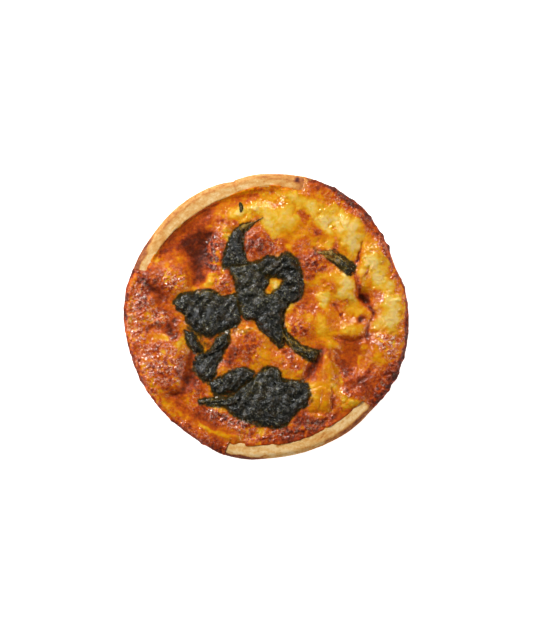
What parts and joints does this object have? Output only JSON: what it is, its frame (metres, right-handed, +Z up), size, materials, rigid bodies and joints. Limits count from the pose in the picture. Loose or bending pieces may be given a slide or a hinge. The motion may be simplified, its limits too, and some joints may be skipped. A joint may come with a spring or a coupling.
{
  "type": "spinach quiche",
  "caption": "Round single-serving quiche: shallow pastry case with sloping sides, browned custard filling and wilted spinach leaves on top.",
  "frame": {"origin": "middle of the flat underside, on the surface that the quiche rests on", "axes": "+Z up; seen from above with +Y up the page, the long bare stretch of rim is at the upper left and the spinach runs down the middle"},
  "size_m": [0.1099, 0.1107, 0.0289],
  "materials": {
    "pastry": "baked short pastry, dry and matt, golden with a pale rim",
    "custard": "baked egg custard, moist and glossy, yellow to dark red-brown with fine blisters",
    "spinach": "wilted spinach, near-black green, wet and finely wrinkled"
  },
  "bodies": {
    "root": {"pastry_case": "pastry", "custard_filling": "custard", "spinach_tall_leaf": "spinach", "spinach_centre_clump": "spinach", "spinach_tail": "spinach", "spinach_left_leaf": "spinach", "spinach_left_strand": "spinach", "spinach_lower_left_leaf": "spinach", "spinach_small_lower_leaf": "spinach", "spinach_big_lower_leaf": "spinach", "spinach_right_leaf": "spinach"}
  },
  "joints": []
}
